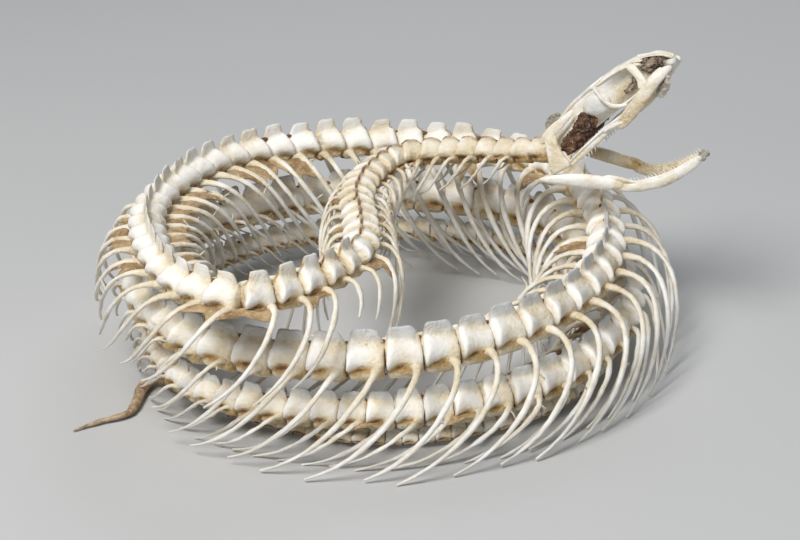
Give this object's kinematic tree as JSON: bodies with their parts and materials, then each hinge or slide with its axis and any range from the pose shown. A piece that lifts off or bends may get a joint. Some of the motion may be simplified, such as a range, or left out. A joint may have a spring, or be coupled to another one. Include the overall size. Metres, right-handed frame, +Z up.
{
  "type": "snake skeleton",
  "caption": "Coiled snake skeleton at life size with its head raised and its mouth wide open, a still museum model that rests on a flat surface.",
  "frame": {"origin": "on the floor, under the middle of the bounding box", "axes": "+Z up; +Y from the side where the neck crosses the loop in front to the back of the coil; +X to the side that the head points to"},
  "size_m": [0.0942, 0.0884, 0.0473],
  "materials": {
    "skull_bone": "dry bone, off-white with tan in the hollows",
    "jaw_bone": "dry bone, smooth and pale with tan scraps of dried tissue",
    "trunk_bone": "dry bone, off-white with yellow-brown stains low on the sides",
    "dried_skin": "dried and wrinkled, brown"
  },
  "bodies": {
    "root": {"cranium": "skull_bone", "maxilla_left": "skull_bone", "pterygoid_left": "skull_bone", "supratemporal_left": "skull_bone", "quadrate_left": "skull_bone", "maxilla_right": "skull_bone", "pterygoid_right": "skull_bone", "supratemporal_right": "skull_bone", "quadrate_right": "skull_bone", "mandible_left": "jaw_bone", "mandible_right": "jaw_bone", "neck_upper": "trunk_bone", "neck_bend": "trunk_bone", "trunk_01": "trunk_bone", "trunk_02": "trunk_bone", "trunk_03": "trunk_bone", "trunk_04": "trunk_bone", "trunk_05": "trunk_bone", "trunk_06": "trunk_bone", "trunk_07": "trunk_bone", "trunk_08": "trunk_bone", "trunk_09": "trunk_bone", "trunk_10": "trunk_bone", "trunk_11": "trunk_bone", "trunk_12": "trunk_bone", "trunk_13": "trunk_bone", "trunk_14": "trunk_bone", "tail_base": "trunk_bone", "tail_middle": "trunk_bone", "tail_tip": "dried_skin"}
  },
  "joints": []
}
